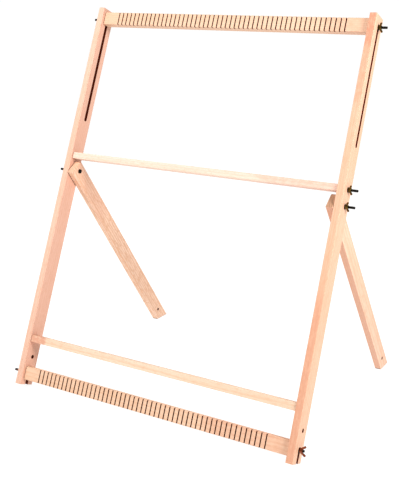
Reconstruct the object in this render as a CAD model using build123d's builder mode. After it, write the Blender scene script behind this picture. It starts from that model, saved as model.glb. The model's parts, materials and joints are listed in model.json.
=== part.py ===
"""Standing tapestry loom in beech: a leaning frame on two swinging rear legs.

Two slotted uprights carry a sliding top beam, a bottom beam and two plain cross bars.  The
warp is wound round the two beams and spaced by the saw kerfs in their front faces.  Every
joint that is meant to be loosened is an M6 stud or bolt with a washer and a wing nut.

Frame: millimetres, +Z up, the weaver stands on the -Y side and +X is the weaver's right.
The origin is on the floor, under the middle of the loom.
"""

import os
from math import cos, radians, sin

from build123d import *

# ---------------------------------------------------------------- driving dimensions (mm)
LEAN = 22.5                  # lean of the uprights back from the vertical, degrees
LEG_ANGLE = 36.3             # rear legs from the vertical, degrees
FOOT_Y = -327.0              # front lower edge of the uprights: centres the loom on the origin

UPRIGHT_LENGTH = 1006.5
UPRIGHT_WIDTH = 17.5
UPRIGHT_DEPTH = 46.5
UPRIGHT_ROUNDING = 1.8
INNER_WIDTH = 741.0          # between the uprights
AXIS_DEPTH = 24.0            # every bolt line, measured back from the uprights' front faces

BEAM_HEIGHT = 33.0
BEAM_DEPTH = 23.0
BEAM_RECESS = 8.5            # beam front face behind the uprights' front faces
BEAM_END_GAP = 0.3
BEAM_ROUNDING = 0.6
TOP_BEAM_UP = 979.5          # bolt lines, measured along the upright from its lower end
BOTTOM_BEAM_UP = 30.0

KERF_COUNT = 52
KERF_PITCH = 12.5
KERF_WIDTH = 3.0             # one pass of a circular saw
KERF_DEPTH = 6.0
KERF_ROW_CENTRE = -4.0       # the row is sawn from the left-hand end, so it sits left of centre

BAR_DEPTH = 24.0
MIDDLE_BAR_UP = 602.0
MIDDLE_BAR_HEIGHT = 16.0
MIDDLE_BAR_RECESS = 5.0
LOWER_BAR_UP = 118.5
LOWER_BAR_HEIGHT = 18.0
LOWER_BAR_RECESS = 3.0
BAR_ROUNDING = 0.8

SLOT_WIDTH = 10.0
SLOT_LOW_UP = 703.0          # centre of the slot's lower rounded end
STORAGE_HOLE_UP = 71.0
STORAGE_HOLE_RADIUS = 5.0

LEG_PIVOT_UP = 564.0
LEG_WIDTH = 42.5
LEG_THICKNESS = 17.5
LEG_HEAD = 17.5              # wood past the pivot at the upper end
LEG_HOLE_DOWN = 618.0        # small hole near the foot, measured from the pivot
LEG_HOLE_RADIUS = 4.5
LEG_ROUNDING = 1.8
LEG_HEAD_BACK_ROUNDING = 8.0
LEG_HEAD_FRONT_ROUNDING = 10.0
LEG_FOOT_ROUNDING = 6.0
LEG_SIDE_GAP = 0.3

SHANK_RADIUS = 3.0           # M6
BOLT_HOLE_RADIUS = 3.3
PIVOT_BORE_RADIUS = 3.08     # running fit of the leg on its bolt
STUD_IN_WOOD = 35.0
HEAD_ACROSS_FLATS = 10.0
HEAD_HEIGHT = 4.0
HEAD_GAP = 0.2
HEAD_CHAMFER = 0.6
THREAD_CHAMFER = 0.7
WASHER_RADIUS = 6.0          # plain M6 washer
WASHER_BORE_RADIUS = 3.2
WASHER_THICKNESS = 1.6
SEAT_GAP = 0.1               # between parts that turn or slide on one another

NUT_BORE_RADIUS = 3.05
NUT_BASE_RADIUS = 5.2
NUT_NECK_RADIUS = 4.4
NUT_FLANGE_HEIGHT = 1.2      # straight rim of the base, below the cone
NUT_BOSS_HEIGHT = 6.4
WING_THICKNESS = 2.4
# each wing runs from a root lobe to a tip lobe: (radius out from the axis, height, lobe radius)
WING_ROOT = (4.2, 3.0, 2.0)
WING_TIPS = {"low": (9.5, 5.6, 2.4), "tall": (9.5, 11.2, 2.5)}

DOWEL_RADIUS = 4.0
DOWEL_IN_UPRIGHT = 11.0
DOWEL_IN_BAR = 22.0
DOWEL_CHAMFER = 0.6
DOWEL_BACK = LOWER_BAR_RECESS + BAR_DEPTH / 2

# How far each stud or bolt stands out of the upright, and how its wing nut came to rest
# (turn of the wings away from the upright's length, degrees).
FIXINGS = {
    "top": {"up": TOP_BEAM_UP, "nut": "low", "left": (23.5, 62.0), "right": (21.5, 37.0)},
    "middle": {"up": MIDDLE_BAR_UP, "nut": "low", "left": (13.0, -50.0), "right": (24.0, 37.0)},
    "bottom": {"up": BOTTOM_BEAM_UP, "nut": "tall", "left": (27.5, 84.0), "right": (12.0, 15.0)},
    "leg": {"up": LEG_PIVOT_UP, "nut": "low", "left": (26.0, -64.0), "right": (24.0, 36.0)},
}

HALF_INNER = INNER_WIDTH / 2
HALF_OUTER = HALF_INNER + UPRIGHT_WIDTH
SIDES = {"left": -1, "right": 1}

os.makedirs("parts", exist_ok=True)


# ---------------------------------------------------------------- places on the loom
LEAN_SIN, LEAN_COS = sin(radians(LEAN)), cos(radians(LEAN))


def on_frame(x, back, up):
    """A point of the leaning frame: x across, back from its front face, up its length."""
    y = FOOT_Y + back * LEAN_COS + up * LEAN_SIN
    z = (UPRIGHT_DEPTH - back) * LEAN_SIN + up * LEAN_COS
    return Vector(x, y, z)


def side_plane(x):
    """Plane across the loom at x; its own axes are (back, up) and it faces +X."""
    return Plane(on_frame(x, 0, 0), x_dir=(0, LEAN_COS, -LEAN_SIN), z_dir=(1, 0, 0))


def leg_plane(x):
    """Plane across the loom at x, centred on the leg pivot; its x axis runs down the leg."""
    turn = radians(LEG_ANGLE)
    pivot = on_frame(x, AXIS_DEPTH, LEG_PIVOT_UP)
    return Plane(pivot, x_dir=(0, sin(turn), -cos(turn)), z_dir=(1, 0, 0))


def save(builder, name):
    """Name the finished piece and write it out."""
    builder.part.label = name
    export_step(builder.part, f"parts/{name}.step")


# ---------------------------------------------------------------- uprights
def make_upright(side):
    start = -HALF_OUTER if side == "left" else HALF_INNER
    slot_height = TOP_BEAM_UP - SLOT_LOW_UP
    with BuildPart() as upright:
        with BuildSketch(side_plane(start)):
            with Locations((UPRIGHT_DEPTH / 2, UPRIGHT_LENGTH / 2)):
                Rectangle(UPRIGHT_DEPTH, UPRIGHT_LENGTH)
        extrude(amount=UPRIGHT_WIDTH)
        lower_end = upright.faces().sort_by(Axis((0, 0, 0), side_plane(start).y_dir))[0]
        fillet(upright.edges() - lower_end.edges(), UPRIGHT_ROUNDING)
        with BuildSketch(side_plane(start)):
            # closed slot for the top beam's stud
            with Locations((AXIS_DEPTH, SLOT_LOW_UP + slot_height / 2)):
                SlotCenterToCenter(slot_height, SLOT_WIDTH, rotation=90)
            # open slot for the bottom beam's stud
            with Locations((AXIS_DEPTH, 0)):
                Rectangle(SLOT_WIDTH, 2 * BOTTOM_BEAM_UP)
            with Locations((AXIS_DEPTH, BOTTOM_BEAM_UP)):
                Circle(SLOT_WIDTH / 2)
            with Locations((AXIS_DEPTH, STORAGE_HOLE_UP)):
                Circle(STORAGE_HOLE_RADIUS)
            with Locations((AXIS_DEPTH, LEG_PIVOT_UP), (AXIS_DEPTH, MIDDLE_BAR_UP)):
                Circle(BOLT_HOLE_RADIUS)
        extrude(amount=UPRIGHT_WIDTH, mode=Mode.SUBTRACT)
        # blind hole for the lower bar's dowel, bored from the inner face
        inner = -HALF_INNER if side == "left" else HALF_INNER
        inward = -DOWEL_IN_UPRIGHT if side == "left" else DOWEL_IN_UPRIGHT
        with BuildSketch(side_plane(inner)):
            with Locations((DOWEL_BACK, LOWER_BAR_UP)):
                Circle(DOWEL_RADIUS)
        extrude(amount=inward, mode=Mode.SUBTRACT)
    save(upright, f"upright_{side}")


# ---------------------------------------------------------------- beams and bars
def make_rail(up, height, recess, depth, rounding, hole_radius, hole_back, hole_depth):
    """A cross piece between the uprights with a blind hole in each end; left open to add to."""
    half = HALF_INNER - BEAM_END_GAP
    with BuildPart() as rail:
        with BuildSketch(side_plane(-half)):
            with Locations((recess + depth / 2, up)):
                Rectangle(depth, height)
        extrude(amount=2 * half)
        fillet(rail.edges(), rounding)
        for x, amount in ((-half, hole_depth), (half, -hole_depth)):
            with BuildSketch(side_plane(x)):
                with Locations((hole_back, up)):
                    Circle(hole_radius)
            extrude(amount=amount, mode=Mode.SUBTRACT)
    return rail


def make_beam(name, up):
    plain = make_rail(up, BEAM_HEIGHT, BEAM_RECESS, BEAM_DEPTH, BEAM_ROUNDING,
                      SHANK_RADIUS, AXIS_DEPTH, STUD_IN_WOOD)
    front = Plane(on_frame(KERF_ROW_CENTRE, BEAM_RECESS, up), x_dir=(1, 0, 0),
                  z_dir=(0, -LEAN_COS, LEAN_SIN))
    with BuildPart() as beam:
        add(plain.part)
        with BuildSketch(front):
            with GridLocations(KERF_PITCH, 1, KERF_COUNT, 1):
                Rectangle(KERF_WIDTH, 2 * BEAM_HEIGHT)
        extrude(amount=-KERF_DEPTH, mode=Mode.SUBTRACT)
    save(beam, name)


def make_bars():
    middle = make_rail(MIDDLE_BAR_UP, MIDDLE_BAR_HEIGHT, MIDDLE_BAR_RECESS, BAR_DEPTH,
                       BAR_ROUNDING, SHANK_RADIUS, AXIS_DEPTH, STUD_IN_WOOD)
    save(middle, "middle_bar")
    lower = make_rail(LOWER_BAR_UP, LOWER_BAR_HEIGHT, LOWER_BAR_RECESS, BAR_DEPTH,
                      BAR_ROUNDING, DOWEL_RADIUS, DOWEL_BACK, DOWEL_IN_BAR)
    save(lower, "lower_bar")


def make_dowel(side):
    sign = SIDES[side]
    deep = sign * (HALF_INNER + DOWEL_IN_UPRIGHT)
    length = DOWEL_IN_UPRIGHT + BEAM_END_GAP + DOWEL_IN_BAR
    with BuildPart() as dowel:
        with BuildSketch(side_plane(deep)):
            with Locations((DOWEL_BACK, LOWER_BAR_UP)):
                Circle(DOWEL_RADIUS)
        extrude(amount=-sign * length)
        chamfer(dowel.edges(), DOWEL_CHAMFER)
    save(dowel, f"dowel_{side}")


# ---------------------------------------------------------------- rear legs
def make_leg(side):
    sign = SIDES[side]
    outer_face = sign * (HALF_INNER - LEG_SIDE_GAP)
    plane = leg_plane(outer_face)
    turn = radians(LEG_ANGLE)
    half = LEG_WIDTH / 2
    # the foot is sawn level, so it lies flat on the floor when the leg is out
    foot_back = (plane.origin.Z + half * sin(turn)) / cos(turn)
    foot_front = (plane.origin.Z - half * sin(turn)) / cos(turn)
    with BuildPart() as leg:
        with BuildSketch(plane) as outline:
            with BuildLine():
                Polyline((-LEG_HEAD, -half), (foot_front, -half), (foot_back, half),
                         (-LEG_HEAD, half), close=True)
            make_face()
            head_front, head_back = outline.vertices().sort_by(Axis.X)[:2].sort_by(Axis.Y)
            foot_corner = outline.vertices().sort_by(Axis.X)[2]
            fillet(head_back, LEG_HEAD_BACK_ROUNDING)
            fillet(head_front, LEG_HEAD_FRONT_ROUNDING)
            fillet(foot_corner, LEG_FOOT_ROUNDING)
        extrude(amount=-sign * LEG_THICKNESS)
        broad = leg.faces().filter_by(Axis.X)
        fillet(broad.edges(), LEG_ROUNDING)
        with BuildSketch(plane):
            Circle(PIVOT_BORE_RADIUS)
            with Locations((LEG_HOLE_DOWN, 0)):
                Circle(LEG_HOLE_RADIUS)
        extrude(amount=-sign * LEG_THICKNESS, mode=Mode.SUBTRACT)
    save(leg, f"leg_{side}")


# ---------------------------------------------------------------- M6 fixings
def make_stud(place, side):
    """Stud screwed into a beam or bar end and standing out of the upright."""
    fixing, sign = FIXINGS[place], SIDES[side]
    inner_end = HALF_INNER - BEAM_END_GAP - STUD_IN_WOOD
    length = HALF_OUTER + fixing[side][0] - inner_end
    with BuildPart() as stud:
        with BuildSketch(side_plane(sign * inner_end)):
            with Locations((AXIS_DEPTH, fixing["up"])):
                Circle(SHANK_RADIUS)
        extrude(amount=sign * length)
        chamfer(stud.edges(), THREAD_CHAMFER)
    save(stud, f"stud_{place}_{side}")


def make_leg_bolt(side):
    """Hexagon bolt through the leg and the upright, head on the leg's inner face."""
    fixing, sign = FIXINGS["leg"], SIDES[side]
    seat = HALF_INNER - LEG_SIDE_GAP - LEG_THICKNESS - HEAD_GAP
    with BuildPart() as bolt:
        with BuildSketch(side_plane(sign * seat)):
            with Locations((AXIS_DEPTH, fixing["up"])):
                RegularPolygon(HEAD_ACROSS_FLATS / 2, 6, major_radius=False)
        extrude(amount=-sign * HEAD_HEIGHT)
        chamfer(bolt.faces().sort_by(Axis.X)[0 if sign > 0 else -1].edges(), HEAD_CHAMFER)
        with BuildSketch(side_plane(sign * seat)):
            with Locations((AXIS_DEPTH, fixing["up"])):
                Circle(SHANK_RADIUS)
        extrude(amount=sign * (HALF_OUTER + fixing[side][0] - seat))
        chamfer(bolt.faces().sort_by(Axis.X)[-1 if sign > 0 else 0].edges(), THREAD_CHAMFER)
    save(bolt, f"leg_bolt_{side}")


def make_washer(place, side):
    fixing, sign = FIXINGS[place], SIDES[side]
    with BuildPart() as washer:
        with BuildSketch(side_plane(sign * (HALF_OUTER + SEAT_GAP))):
            with Locations((AXIS_DEPTH, fixing["up"])):
                Circle(WASHER_RADIUS)
                Circle(WASHER_BORE_RADIUS, mode=Mode.SUBTRACT)
        extrude(amount=sign * WASHER_THICKNESS)
    save(washer, f"washer_{place}_{side}")


def make_wing_nut(place, side):
    fixing, sign = FIXINGS[place], SIDES[side]
    turn = radians(fixing[side][1])
    base = on_frame(sign * (HALF_OUTER + 2 * SEAT_GAP + WASHER_THICKNESS), AXIS_DEPTH, fixing["up"])
    # across the wings: the lower wing is turned to the back by the nut's angle
    across = Vector(0, sin(turn) * LEAN_COS - cos(turn) * LEAN_SIN,
                    -sin(turn) * LEAN_SIN - cos(turn) * LEAN_COS)
    out = Vector(sign, 0, 0)
    section = Plane(base, x_dir=across, z_dir=across.cross(out))
    with BuildPart() as nut:
        with BuildSketch(section):
            with BuildLine():
                Polyline((0, 0), (NUT_BASE_RADIUS, 0), (NUT_BASE_RADIUS, NUT_FLANGE_HEIGHT),
                         (NUT_NECK_RADIUS, NUT_BOSS_HEIGHT), (0, NUT_BOSS_HEIGHT), close=True)
            make_face()
        revolve(axis=Axis(base, out))
        for way in (-1, 1):
            with BuildSketch(section):
                for radius, height, lobe in (WING_ROOT, WING_TIPS[fixing["nut"]]):
                    with Locations((way * radius, height)):
                        Circle(lobe)
                make_hull()
            extrude(amount=WING_THICKNESS / 2, both=True)
        with BuildSketch(Plane(base, x_dir=across, z_dir=out)):
            Circle(NUT_BORE_RADIUS)
        extrude(amount=2 * NUT_BOSS_HEIGHT, mode=Mode.SUBTRACT)
    save(nut, f"wing_nut_{place}_{side}")


# ---------------------------------------------------------------- the loom
make_beam("top_beam", TOP_BEAM_UP)
make_beam("bottom_beam", BOTTOM_BEAM_UP)
make_bars()
for side in SIDES:
    make_upright(side)
    make_leg(side)
    make_dowel(side)
    make_leg_bolt(side)
    for place in FIXINGS:
        if place != "leg":
            make_stud(place, side)
        make_washer(place, side)
        make_wing_nut(place, side)
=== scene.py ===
"""Looks of the standing tapestry loom: sanded beech, blackened M6 hardware and toned wing nuts.

The CAD frame is loaded as it is.  Wooden pieces and washers keep their CAD meshes and get
procedural materials; the studs and bolts get real threads, and the wing nuts get the soft
edges of a casting.  Metres, +Z up, the weaver's side is -Y.
"""

import json
from math import cos, pi, radians, sin, tau

import bmesh
import bpy
from mathutils import Matrix, Vector


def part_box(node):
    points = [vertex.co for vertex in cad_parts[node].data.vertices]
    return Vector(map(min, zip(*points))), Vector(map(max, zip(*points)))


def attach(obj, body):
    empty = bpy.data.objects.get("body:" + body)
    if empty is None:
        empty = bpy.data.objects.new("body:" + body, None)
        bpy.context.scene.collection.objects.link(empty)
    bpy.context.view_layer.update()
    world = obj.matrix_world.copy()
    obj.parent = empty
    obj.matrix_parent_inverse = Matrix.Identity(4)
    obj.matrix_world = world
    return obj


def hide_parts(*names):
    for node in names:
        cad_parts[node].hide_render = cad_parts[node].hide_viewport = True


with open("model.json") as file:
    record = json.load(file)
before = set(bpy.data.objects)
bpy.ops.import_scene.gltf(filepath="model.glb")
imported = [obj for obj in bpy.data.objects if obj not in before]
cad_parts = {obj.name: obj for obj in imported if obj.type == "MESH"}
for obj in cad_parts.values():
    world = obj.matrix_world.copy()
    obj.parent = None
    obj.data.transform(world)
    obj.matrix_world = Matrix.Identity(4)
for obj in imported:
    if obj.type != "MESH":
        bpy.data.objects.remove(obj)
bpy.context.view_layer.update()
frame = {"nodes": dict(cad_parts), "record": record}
nodes = frame["nodes"]
body_of_node = {n: b for b, members in frame["record"]["behaviour"]["bodies"].items()
                for n in members}
slot_of_node = {s["node"]: s["material_slot"] for s in frame["record"]["subparts"]}

# ---------------------------------------------------------------- driving values
MM = 0.001
LEAN = radians(22.5)             # uprights, back from the vertical
LEG_LEAN = radians(36.3)         # rear legs, from the vertical
BACKWARD = Vector((0, cos(LEAN), -sin(LEAN)))    # square to an upright's front face
UPWARD = Vector((0, sin(LEAN), cos(LEAN)))       # along an upright
DOWN_LEG = Vector((0, sin(LEG_LEAN), -cos(LEG_LEAN)))
ACROSS_LEG = Vector((0, cos(LEG_LEAN), sin(LEG_LEAN)))

# cuts in the wood: how far from the bolt line a cut's walls can be, just past the CAD sizes
SLOT_REACH = 5.3 * MM            # slots and peg holes of the uprights
TOP_SLOT_END = 10 * MM           # above the top stud
FOOT_HEIGHT = 20 * MM            # below this, faces square to the grain are the sawn foot
LEG_HOLE_REACH = 4.8 * MM
LEG_HOLES = (-6 * MM, 0.63)      # stretch of the leg that has holes, down from its bolt
SAW_CUTS_HALF_SPAN = 0.366       # of a beam, from its middle; past it are the beam's ends
FACE_SKIN = 1 * MM               # a face deeper than this is a saw cut's floor
SQUARE_ON, SIDE_ON = 0.9, 0.5    # cosines: a face looks that way, a face looks aside

# hardware
ROD_RADIUS = 3.0 * MM
TIP_CHAMFER = 0.7 * MM
THREAD_PITCH = 1.0 * MM
THREAD_DEPTH = 0.55 * MM
THREAD_FLANK = 2.6               # how steeply the groove's sides rise
THREAD_SEGMENTS = 28
THREAD_RINGS_PER_PITCH = 6
THREAD_RUNS_INTO_WOOD = 3 * MM
HEAD_HEIGHT = 4.0 * MM
HEAD_HALF_FLATS = 5.0 * MM
HEAD_CHAMFER = (0.45 * MM, 0.75 * MM)    # along the bolt, across it
HEAD_TURN = -LEAN
SMOOTH_BELOW = radians(32)
NUT_VOXEL = 0.28 * MM
NUT_SMOOTHING = (0.5, 4)         # factor, passes
NUT_FACES_KEPT = 0.45
WELD_DISTANCE = 1e-6

# camera and studio
CAMERA_PLACE = (1.083, -1.875, 0.990)
CAMERA_HEADING = radians(30.35)  # to the left of +Y
CAMERA_TILT = radians(-13.10)
CAMERA_ROLL = radians(0.37)
FOCAL_PIXELS, FRAME_PIXELS = 882.5, 477
CAMERA_SHIFT = (-0.0152, -0.0869)
SENSOR = 36.0
FLOOR_SIZE, FLOOR_DROP = 400.0, 0.2 * MM
FLOOR_GLOW = 0.93                # the white table is lit from below, so shadows stay faint
WORLD_GLOW = 0.32
LIGHTS = (                       # name, place, aim, size, power, color
    ("key", (-1.2, -2.0, 2.4), (-0.2, 0, 0.5), 1.2, 64, (1.0, 0.985, 0.96)),
    ("side", (2.2, -0.6, 1.6), (0, 0, 0.45), 0.8, 50, (1, 1, 1)),
    ("back", (-1.9, 1.9, 1.5), (0, 0, 0.45), 0.9, 22, (1, 1, 1)),
)


# ---------------------------------------------------------------- shader building
class Shader:
    """A material's node tree, with short calls for the nodes used here."""

    def __init__(self, name):
        self.material = bpy.data.materials.new(name)
        self.material.use_nodes = True
        self.tree = self.material.node_tree
        self.surface = self.tree.nodes["Principled BSDF"]

    def node(self, kind, inputs=None, **settings):
        made = self.tree.nodes.new("ShaderNode" + kind)
        for key, value in settings.items():
            setattr(made, key, value)
        for key, value in (inputs or {}).items():
            self.put(made.inputs[key], value)
        return made

    def put(self, socket, value):
        if isinstance(value, bpy.types.NodeSocket):
            self.tree.links.new(value, socket)
        else:
            socket.default_value = value

    def math(self, operation, a, b=0.0):
        return self.node("Math", {0: a, 1: b}, operation=operation).outputs[0]

    def ramp(self, value, low, high, to_low=0.0, to_high=1.0):
        """value from low..high spread smoothly over to_low..to_high."""
        spread = self.node("MapRange", {"Value": value, "From Min": low, "From Max": high,
                                        "To Min": to_low, "To Max": to_high},
                           interpolation_type="SMOOTHSTEP")
        return spread.outputs["Result"]

    def noise(self, vector, scale, detail=3.0, roughness=0.5):
        made = self.node("TexNoise", {"Vector": vector, "Scale": scale, "Detail": detail,
                                      "Roughness": roughness})
        return made.outputs["Fac"]

    def mix(self, factor, a, b, blend="MIX"):
        made = self.node("Mix", data_type="RGBA", blend_type=blend)
        self.put(made.inputs["Factor"], factor)
        self.put(made.inputs["A"], a)
        self.put(made.inputs["B"], b)
        return made.outputs["Result"]

    def place(self, rotation=(0, 0, 0), offset=(0, 0, 0)):
        """Object coordinates, turned and then moved."""
        at = self.node("TexCoord").outputs["Object"]
        turned = self.node("Mapping", {"Vector": at, "Rotation": rotation, "Location": offset})
        return turned.outputs[0]

    def stretch(self, vector, scale):
        made = self.node("VectorMath", {0: vector, 1: scale}, operation="MULTIPLY")
        return made.outputs[0]

    def edges(self, radius):
        """1 on outside and inside edges within radius, 0 on flat ground."""
        round_normal = self.node("Bevel", {"Radius": radius}, samples=6).outputs[0]
        flat_normal = self.node("NewGeometry").outputs["Normal"]
        same = self.node("VectorMath", {0: round_normal, 1: flat_normal},
                         operation="DOT_PRODUCT").outputs["Value"]
        return self.ramp(same, 0.99, 0.8)

    def bump(self, height, distance, strength):
        made = self.node("Bump", {"Height": height, "Distance": distance, "Strength": strength})
        self.put(self.surface.inputs["Normal"], made.outputs[0])


def rgb(color, gain=1.0):
    return (color[0] * gain, color[1] * gain, color[2] * gain, 1.0)


def tinted(color, tint):
    """Shader color of a board's color multiplied by a tint, never past white."""
    return rgb([min(c * k, 1) for c, k in zip(color, tint)])


# ---------------------------------------------------------------- beech
# painted shade in saw cuts, slots, holes and tight joints: how far it reaches and its color
PAINTED_SHADE_REACH = 7 * MM
PAINTED_SHADE_COLOR = (0.13, 0.055, 0.03)
# painted shade on the walls inside slots, holes and saw cuts
CUT_WALL_SHADE_COLOR = (0.110, 0.014, 0.004)
GROWTH_TINT = (0.86, 0.73, 0.62)         # growth lines and fibres, against the board's color
PALE_TINT = (1.05, 1.09, 1.13)
# pink of heartwood and flat-sawn faces; on some faces it is painted shade
PINK_AND_SHADE_TINT = (0.83, 0.58, 0.53)
SAWN_TINT = (0.62, 0.54, 0.46)
# features in a metre across the grain; stretching along the grain is given where each is used
CLOUD_SCALE, WANDER_SCALE, RING_SCALE = 24, 9, 62.0
FLAME_SCALE, FIBRE_SCALE, PORE_SCALE, MOTTLE_SCALE = 230, 850, 2400, 170
FLECK_CELLS = (620, 620, 210)
EDGE_WEAR = 1.6 * MM
ALONG_UPRIGHT = ((LEAN, 0, 0), (0, sin(LEAN), cos(LEAN)))     # turn of the grain, its direction
ALONG_LEG = ((-LEG_LEAN, 0, 0), (0, -sin(LEG_LEAN), cos(LEG_LEAN)))
ALONG_RAIL = ((LEAN, -pi / 2, 0), (1, 0, 0))


def beech(name, along, color, seed, figure=0.42, flat_sawn_and_shade=0.0, heart=(), ends=1.0):
    """Planed beech: growth lines, pores, ray flecks, end grain and handled edges, with painted
    shade in cuts and joints.

    figure is the strength of the growth lines.  flat_sawn_and_shade is how much pinker and darker
    the faces sawn along the rings are than the board's cheeks, which face +X or -X (below 0, the
    cheeks are pinker and darker); this is partly the figure of flat-sawn beech and partly painted
    shade on faces that lie in shade.  heart lists their pinkest stretches as (place along the
    grain, half length, strength).  ends is how dark the sawn ends are: end grain, and painted
    light where an end is lit, as on leg_left.
    """
    turn, grain = along
    s = Shader(name)
    offset = (0.031 + 0.017 * seed, 0.024 - 0.011 * seed, 0.37 * seed)
    at = s.place(turn, offset)            # its z runs along the grain

    cloud = s.noise(s.stretch(at, (1, 1, 0.12)), CLOUD_SCALE, 3)
    wander = s.noise(s.stretch(at, (1, 1, 0.10)), WANDER_SCALE, 2)
    rings = s.node("TexWave", {"Vector": s.stretch(at, (1, 1, 0.05)), "Scale": RING_SCALE,
                               "Distortion": 5.5, "Detail": 2.5, "Detail Scale": 0.6,
                               "Detail Roughness": 0.55},
                   wave_type="RINGS", rings_direction="Z", wave_profile="SAW").outputs["Fac"]
    lines = s.ramp(rings, 0.55, 1.0)
    flame = s.noise(s.stretch(at, (1, 1, 0.28)), FLAME_SCALE, 4, 0.62)
    fibre = s.noise(s.stretch(at, (1, 1, 0.022)), FIBRE_SCALE, 3, 0.6)
    pores = s.noise(s.stretch(at, (1, 1, 0.06)), PORE_SCALE, 2, 0.5)
    fleck_cells = s.node("TexVoronoi", {"Vector": s.stretch(at, FLECK_CELLS), "Scale": 1.0,
                                        "Randomness": 1.0}, feature="F1").outputs["Distance"]
    flecks = s.math("MULTIPLY", s.ramp(fleck_cells, 0.34, 0.14), s.ramp(wander, 0.35, 0.6))

    dark, light, pink_and_shade = (tinted(color, tint) for tint in (GROWTH_TINT, PALE_TINT, PINK_AND_SHADE_TINT))
    tone = s.mix(s.ramp(cloud, 0.3, 0.7), rgb(color), light)
    tone = s.mix(s.math("MULTIPLY", lines, figure), tone, dark)
    tone = s.mix(s.math("MULTIPLY", s.ramp(flame, 0.47, 0.66), 0.9 * figure), tone, dark)
    grain_place = s.node("SeparateXYZ", {0: s.place(turn)}).outputs["Z"]
    normal = s.node("TexCoord").outputs["Normal"]
    # faces tinted pinker and darker by which way they face: partly flat-sawn figure, partly
    # painted shade
    cheek = s.math("ABSOLUTE", s.node("SeparateXYZ", {0: normal}).outputs["X"])
    flat_faces_and_shade = s.ramp(cheek, 0.6, 0.4)
    pink_and_shaded_faces = flat_faces_and_shade if flat_sawn_and_shade >= 0 else s.ramp(cheek, 0.4, 0.6)
    tone = s.mix(s.math("MULTIPLY", pink_and_shaded_faces, abs(flat_sawn_and_shade)), tone, pink_and_shade)
    mottle = s.ramp(s.noise(s.stretch(at, (1, 1, 0.5)), MOTTLE_SCALE, 3), 0.36, 0.56, 0.5, 1.0)
    for center, half, strength in heart:
        away = s.math("ABSOLUTE", s.math("SUBTRACT", grain_place, center))
        frayed = s.math("ADD", away, s.math("MULTIPLY", s.math("SUBTRACT", cloud, 0.5), half))
        patch = s.ramp(frayed, half * 1.15, half * 0.85, 0.0, strength)
        patch = s.math("MULTIPLY", s.math("MULTIPLY", pink_and_shaded_faces, patch), mottle)
        tone = s.mix(patch, tone, pink_and_shade)
    tone = s.mix(s.math("MULTIPLY", s.ramp(fibre, 0.45, 0.75), 0.30), tone, dark)
    tone = s.mix(s.math("MULTIPLY", flecks, 0.55), tone, rgb(dark, 0.86))
    tone = s.mix(s.math("MULTIPLY", s.ramp(pores, 0.62, 0.75), 0.35), tone, rgb(dark, 0.8))

    # sawn ends soak up light and show the rings
    facing = s.node("VectorMath", {0: normal, 1: grain}, operation="DOT_PRODUCT").outputs["Value"]
    sawn = s.ramp(s.math("ABSOLUTE", facing), 0.75, 0.95)
    sawn_color = tinted(color, SAWN_TINT)
    end_tone = s.mix(s.ramp(rings, 0.2, 1.0), sawn_color, rgb(sawn_color, 0.72))
    end_tone = s.mix(s.math("MULTIPLY", s.ramp(s.noise(at, 2600, 2), 0.5, 0.7), 0.5), end_tone,
                     rgb(dark, 0.55))
    # how dark the ends get is set per board: end grain, and painted light where leg_left's ends
    # are lit
    tone = s.mix(s.math("MULTIPLY", sawn, ends), tone, end_tone)

    # handling: edges rubbed darker in patches, with a few pale knocks
    edge = s.edges(EDGE_WEAR)
    patches = s.noise(at, 60, 4, 0.65)
    tone = s.mix(s.math("MULTIPLY", edge, s.ramp(patches, 0.42, 0.62, 0.06, 0.34)), tone, dark)
    knocks = s.math("MULTIPLY", edge, s.ramp(s.noise(at, 210, 3, 0.6), 0.66, 0.74))
    tone = s.mix(s.math("MULTIPLY", knocks, 0.6), tone, light)
    # painted shade: saw cuts, slots, holes and tight joints are darkened by ambient occlusion
    # towards a shade color
    painted_shade = s.node("AmbientOcclusion", {"Distance": PAINTED_SHADE_REACH}, samples=12).outputs["AO"]
    tone = s.mix(s.ramp(painted_shade, 0.60, 0.25), tone, rgb(PAINTED_SHADE_COLOR))
    s.put(s.surface.inputs["Base Color"], tone)

    rough = s.math("ADD", s.ramp(fibre, 0.3, 0.7, 0.50, 0.60), s.math("MULTIPLY", sawn, 0.22))
    s.put(s.surface.inputs["Roughness"], s.math("SUBTRACT", rough, s.math("MULTIPLY", edge, 0.06)))
    s.surface.inputs["Specular IOR Level"].default_value = 0.32
    relief = s.math("ADD", s.math("MULTIPLY", fibre, 0.5), s.math("MULTIPLY", pores, 0.35))
    relief = s.math("SUBTRACT", relief, s.math("MULTIPLY", flecks, 0.25))
    relief = s.math("SUBTRACT", relief, s.math("MULTIPLY", knocks, 0.6))
    relief = s.math("ADD", relief, s.math("MULTIPLY", s.math("MULTIPLY", sawn, lines), 0.4))
    s.bump(relief, 0.12 * MM, 0.8)
    return s.material


def paint_cut_wall_shade():
    """Painted shade on the walls of slots, holes and saw cuts: near-black brown beech, streaked
    and patchy.
    """
    s = Shader("beech_painted_cut_shade")
    at = s.place((LEAN, 0, 0))
    streak = s.noise(s.stretch(at, (1, 1, 0.2)), 900, 3, 0.6)
    patch = s.noise(at, 180, 3)
    tone = s.mix(s.ramp(streak, 0.3, 0.7), rgb(CUT_WALL_SHADE_COLOR, 0.7), rgb(CUT_WALL_SHADE_COLOR, 1.7))
    tone = s.mix(s.math("MULTIPLY", s.ramp(patch, 0.55, 0.75), 0.4), tone, rgb(CUT_WALL_SHADE_COLOR, 3.0))
    s.put(s.surface.inputs["Base Color"], tone)
    s.surface.inputs["Roughness"].default_value = 0.85
    s.surface.inputs["Specular IOR Level"].default_value = 0.05
    s.bump(streak, 0.15 * MM, 0.8)
    return s.material


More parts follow.
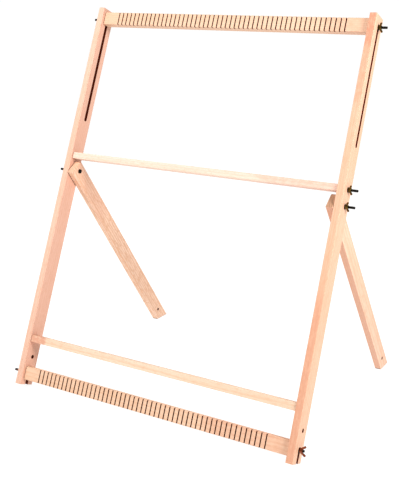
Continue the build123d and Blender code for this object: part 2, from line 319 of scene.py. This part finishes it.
def is_cut(node, center, normal, front, bolt_line):
    """True for a face inside a slot, a hole or a saw cut of a wooden piece."""
    from_bolt = center - bolt_line
    if node.startswith("upright"):
        in_slot = abs(from_bolt.dot(BACKWARD)) < SLOT_REACH
        at_end = abs(normal.dot(UPWARD)) > SQUARE_ON and center.z < FOOT_HEIGHT
        below_top = from_bolt.dot(UPWARD) < TOP_SLOT_END
        return in_slot and below_top and not at_end and abs(normal.x) < SIDE_ON
    if node.startswith("leg"):
        on_line = abs(from_bolt.dot(ACROSS_LEG)) < LEG_HOLE_REACH
        among_holes = LEG_HOLES[0] < from_bolt.dot(DOWN_LEG) < LEG_HOLES[1]
        return on_line and among_holes and abs(normal.x) < SIDE_ON
    inside = abs(center.x) < SAW_CUTS_HALF_SPAN
    wall = abs(normal.x) > SQUARE_ON
    bottom = normal.dot(BACKWARD) < -SQUARE_ON and center.dot(BACKWARD) > front + FACE_SKIN
    return node.endswith("beam") and inside and (wall or bottom)


def middle_of(node):
    low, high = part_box(node)
    return (low + high) / 2


def dress_wood(node, look, cut_shade_look):
    """Give a CAD wooden piece its beech, and painted shade on the walls inside its cuts."""
    mesh = nodes[node].data
    mesh.materials.clear()
    mesh.materials.append(look)
    mesh.materials.append(cut_shade_look)
    side = node.rsplit("_", 1)[-1]
    bolt = {"upright": f"stud_top_{side}", "leg": f"leg_bolt_{side}"}.get(node.split("_")[0])
    bolt_line = middle_of(bolt) if bolt else Vector()
    front = min(v.co.dot(BACKWARD) for v in mesh.vertices)
    for face in mesh.polygons:
        cut = is_cut(node, face.center, face.normal, front, bolt_line)
        face.material_index = 1 if cut else 0


# ---------------------------------------------------------------- metals
def metal(name, color, edge_wear_and_highlight, metallic, rough):
    """Coated or toned metal: cloudy coating, fine grit, and a lighter edge color that is partly
    wear through the coating and partly a painted highlight.
    """
    s = Shader(name)
    at = s.place()
    cloud = s.noise(at, 420, 4, 0.6)
    grit = s.noise(at, 5200, 3, 0.6)
    stain = s.ramp(s.noise(at, 900, 3, 0.7), 0.5, 0.72)
    tone = s.mix(s.ramp(cloud, 0.40, 0.62), rgb(color, 0.55), rgb(color, 1.5))
    tone = s.mix(s.math("MULTIPLY", stain, 0.5), tone, rgb(color, 0.45))
    # edges: partly wear through the coating, partly a painted highlight
    edge = s.edges(0.4 * MM)
    wear_and_highlight = s.math("MULTIPLY", edge, s.ramp(s.noise(at, 1500, 3, 0.6), 0.38, 0.6, 0.15, 0.85))
    s.put(s.surface.inputs["Base Color"], s.mix(wear_and_highlight, tone, rgb(edge_wear_and_highlight)))
    s.surface.inputs["Metallic"].default_value = metallic
    shine = s.ramp(cloud, 0.3, 0.7, rough - 0.08, rough + 0.1)
    s.put(s.surface.inputs["Roughness"],
          s.math("SUBTRACT", s.math("ADD", shine, s.math("MULTIPLY", stain, 0.12)),
                 s.math("MULTIPLY", wear_and_highlight, 0.12)))
    s.bump(s.math("ADD", grit, s.math("MULTIPLY", cloud, 1.5)), 0.03 * MM, 0.6)
    return s.material


def floor_material():
    s = Shader("studio_floor")
    mottle = s.noise(s.place(), 3.0, 4)
    s.put(s.surface.inputs["Base Color"],
          s.mix(s.ramp(mottle, 0.3, 0.7), (0.19, 0.19, 0.19, 1), (0.21, 0.21, 0.21, 1)))
    s.surface.inputs["Emission Color"].default_value = (1.0, 1.0, 1.0, 1.0)
    s.surface.inputs["Emission Strength"].default_value = FLOOR_GLOW
    s.surface.inputs["Roughness"].default_value = 0.75
    s.surface.inputs["Specular IOR Level"].default_value = 0.2
    return s.material


# ---------------------------------------------------------------- mesh pieces
def new_piece(name, mesh, node, material):
    """Stand a mesh in for a CAD node, on the same body and in the same finish."""
    piece = bpy.data.objects.new(name, mesh)
    bpy.context.scene.collection.objects.link(piece)
    mesh.materials.clear()
    mesh.materials.append(material)
    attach(piece, body_of_node[node])
    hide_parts(node)
    return piece


def thread_radius(along, angle, start, end):
    """Radius of an M6 rod at a place: plain before start, threaded to end, its tip chamfered."""
    tip = max(0.0, TIP_CHAMFER - (end - along))
    if along < start:
        return ROD_RADIUS - tip
    phase = (along / THREAD_PITCH - angle / tau) % 1.0
    crest = min(1.0, THREAD_FLANK * abs(phase - 0.5))
    run_in = min(1.0, (along - start) / THREAD_PITCH)
    return min(ROD_RADIUS - THREAD_DEPTH * run_in * (1.0 - crest), ROD_RADIUS - tip)


def rod_mesh(node, thread_from):
    """A stud or bolt along X, with a real screw thread outside the wood."""
    low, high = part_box(node)
    center = (low + high) / 2
    outward = 1 if center.x > 0 else -1
    first, last = (low.x, high.x) if outward > 0 else (high.x, low.x)
    length = abs(last - first)
    has_head = (high.z - low.z) > 3 * ROD_RADIUS
    head = HEAD_HEIGHT if has_head else 0.0
    start = thread_from - outward * first

    rings = [head, start]
    step = THREAD_PITCH / THREAD_RINGS_PER_PITCH
    count = int((length - start) / step)
    rings += [start + step * (i + 1) for i in range(count)] + [length]
    if not has_head:
        rings.insert(1, TIP_CHAMFER)
    bm = bmesh.new()
    loops = []
    for index, along in enumerate(rings):
        loop = []
        for k in range(THREAD_SEGMENTS):
            angle = tau * k / THREAD_SEGMENTS
            radius = thread_radius(along, angle, start, length)
            if index == 0 and not has_head:
                radius = ROD_RADIUS - TIP_CHAMFER
            loop.append(bm.verts.new((first + outward * along, center.y + radius * cos(angle),
                                      center.z + radius * sin(angle))))
        loops.append(loop)
    for a, b in zip(loops, loops[1:]):
        for k in range(THREAD_SEGMENTS):
            j = (k + 1) % THREAD_SEGMENTS
            bm.faces.new((a[k], a[j], b[j], b[k]))
    bm.faces.new(loops[0])
    bm.faces.new(loops[-1])
    if has_head:
        add_hex_head(bm, first, outward, head, center)
    bmesh.ops.recalc_face_normals(bm, faces=bm.faces)
    mesh = bpy.data.meshes.new(node)
    bm.to_mesh(mesh)
    bm.free()
    mesh.shade_smooth()
    mesh.set_sharp_from_angle(angle=SMOOTH_BELOW)
    return mesh


def add_hex_head(bm, first, outward, height, center):
    """Hexagon head, chamfered on its free face; its flats match the CAD bolt."""
    corner = HEAD_HALF_FLATS / cos(pi / 6)
    rise, inset = HEAD_CHAMFER
    levels = ((0.0, corner - inset), (rise, corner), (height, corner))
    loops = []
    for along, radius in levels:
        loops.append([bm.verts.new((first + outward * along,
                                    center.y + radius * cos(tau * k / 6 + HEAD_TURN),
                                    center.z + radius * sin(tau * k / 6 + HEAD_TURN)))
                      for k in range(6)])
    for a, b in zip(loops, loops[1:]):
        for k in range(6):
            bm.faces.new((a[k], a[(k + 1) % 6], b[(k + 1) % 6], b[k]))
    bm.faces.new(loops[0])
    bm.faces.new(loops[-1])


def cast_mesh(node):
    """The CAD wing nut with the soft edges and slightly lumpy skin of a casting."""
    mesh = nodes[node].data.copy()
    bm = bmesh.new()
    bm.from_mesh(mesh)
    bmesh.ops.remove_doubles(bm, verts=bm.verts, dist=WELD_DISTANCE)
    bm.to_mesh(mesh)
    bm.free()
    source = bpy.data.objects.new(node + "_source", mesh)
    bpy.context.scene.collection.objects.link(source)
    remesh = source.modifiers.new("cast", "REMESH")
    remesh.mode = "VOXEL"
    remesh.voxel_size = NUT_VOXEL
    smooth = source.modifiers.new("soft", "SMOOTH")
    smooth.factor, smooth.iterations = NUT_SMOOTHING
    thin = source.modifiers.new("thin", "DECIMATE")
    thin.ratio = NUT_FACES_KEPT
    graph = bpy.context.evaluated_depsgraph_get()
    result = bpy.data.meshes.new_from_object(source.evaluated_get(graph), depsgraph=graph)
    bpy.data.objects.remove(source)
    result.name = node
    result.shade_smooth()
    return result


# ---------------------------------------------------------------- dressing the frame
BEECH = (0.74, 0.47, 0.32)
WOOD = {                         # beech()'s arguments for each board
    # the face tint values here also paint shade on some faces, and leg_left's ends value paints
    # its lit ends pale
    "upright_left": dict(along=ALONG_UPRIGHT, color=(0.77, 0.475, 0.35), seed=1, flat_sawn_and_shade=-0.30),
    "upright_right": dict(along=ALONG_UPRIGHT, color=(0.77, 0.455, 0.30), seed=2, flat_sawn_and_shade=0.17,
                          heart=((0.87, 0.055, 1.0), (0.77, 0.10, 0.45), (0.05, 0.19, 0.5))),
    "top_beam": dict(along=ALONG_RAIL, color=(0.76, 0.49, 0.33), seed=3,
                     heart=((0.33, 0.07, 0.3),)),
    "bottom_beam": dict(along=ALONG_RAIL, color=(0.79, 0.51, 0.345), seed=4,
                        heart=((0.27, 0.12, 0.4),)),
    "middle_bar": dict(along=ALONG_RAIL, color=(0.84, 0.61, 0.49), seed=5,
                       heart=((0.34, 0.16, 0.45),)),
    "lower_bar": dict(along=ALONG_RAIL, color=(0.82, 0.58, 0.42), seed=6, figure=0.5,
                      heart=((-0.352, 0.026, 0.95),)),
    "leg_left": dict(along=ALONG_LEG, color=(0.92, 0.62, 0.45), seed=7, figure=1.5,
                     flat_sawn_and_shade=-0.05, heart=((0.43, 0.13, 0.3),), ends=0.3),
    "leg_right": dict(along=ALONG_LEG, color=(0.84, 0.53, 0.37), seed=8, figure=0.6,
                      flat_sawn_and_shade=0.5),
    "dowel_left": dict(along=ALONG_RAIL, color=BEECH, seed=9),
    "dowel_right": dict(along=ALONG_RAIL, color=BEECH, seed=10),
}
# each metal: color, edge color (wear and painted highlight), metallic, roughness
METALS = {
    "blackened_steel": metal("blackened_steel_look", (0.008, 0.007, 0.006), (0.08, 0.07, 0.055),
                             1.0, 0.38),
    "bronze_toned_nut": metal("bronze_nut_look", (0.14, 0.090, 0.022), (0.90, 0.68, 0.28),
                              1.0, 0.28),
    "copper_toned_nut": metal("copper_nut_look", (0.27, 0.075, 0.035), (0.90, 0.46, 0.30),
                              1.0, 0.30),
}

# painted shade for the walls inside the cuts
cut_wall_shade_look = paint_cut_wall_shade()
outer_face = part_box("upright_right")[1].x
for node, cad in nodes.items():
    if node in WOOD:
        dress_wood(node, beech(f"beech_{node}", **WOOD[node]), cut_wall_shade_look)
        continue
    look = METALS[slot_of_node[node]]
    if node.startswith(("stud", "leg_bolt")):
        new_piece(f"threaded_{node}", rod_mesh(node, outer_face - THREAD_RUNS_INTO_WOOD),
                  node, look)
    elif node.startswith("wing_nut"):
        new_piece(f"cast_{node}", cast_mesh(node), node, look)
    else:
        cad.data.materials.clear()
        cad.data.materials.append(look)


# ---------------------------------------------------------------- studio
def make_floor():
    mesh = bpy.data.meshes.new("studio_floor")
    h = FLOOR_SIZE / 2
    mesh.from_pydata([(-h, -h, 0), (h, -h, 0), (h, h, 0), (-h, h, 0)], [], [(0, 1, 2, 3)])
    floor = bpy.data.objects.new("studio_floor", mesh)
    floor.location.z = -FLOOR_DROP
    bpy.context.scene.collection.objects.link(floor)
    mesh.materials.append(floor_material())


def soft_light(name, place, aim, size, power, color):
    data = bpy.data.lights.new(name, "AREA")
    data.shape, data.size, data.energy, data.color = "DISK", size, power, color
    lamp = bpy.data.objects.new(name, data)
    lamp.location = place
    lamp.visible_camera = False
    lamp.rotation_euler = (Vector(aim) - Vector(place)).to_track_quat("-Z", "Y").to_euler()
    bpy.context.scene.collection.objects.link(lamp)


def make_world():
    world = bpy.data.worlds.new("studio_white")
    world.use_nodes = True
    world.node_tree.nodes["Background"].inputs["Color"].default_value = (1, 1, 1, 1)
    world.node_tree.nodes["Background"].inputs["Strength"].default_value = WORLD_GLOW
    bpy.context.scene.world = world


def make_camera():
    data = bpy.data.cameras.new("camera")
    data.sensor_width = SENSOR
    data.lens = SENSOR * FOCAL_PIXELS / FRAME_PIXELS
    data.shift_x, data.shift_y = CAMERA_SHIFT
    camera = bpy.data.objects.new("camera", data)
    camera.matrix_world = (Matrix.Translation(CAMERA_PLACE)
                           @ Matrix.Rotation(CAMERA_HEADING, 4, "Z")
                           @ Matrix.Rotation(pi / 2 + CAMERA_TILT, 4, "X")
                           @ Matrix.Rotation(CAMERA_ROLL, 4, "Z"))
    bpy.context.scene.collection.objects.link(camera)
    bpy.context.scene.camera = camera


make_floor()
make_world()
for light in LIGHTS:
    soft_light(*light)
make_camera()
bpy.context.scene.view_settings.view_transform = "Standard"
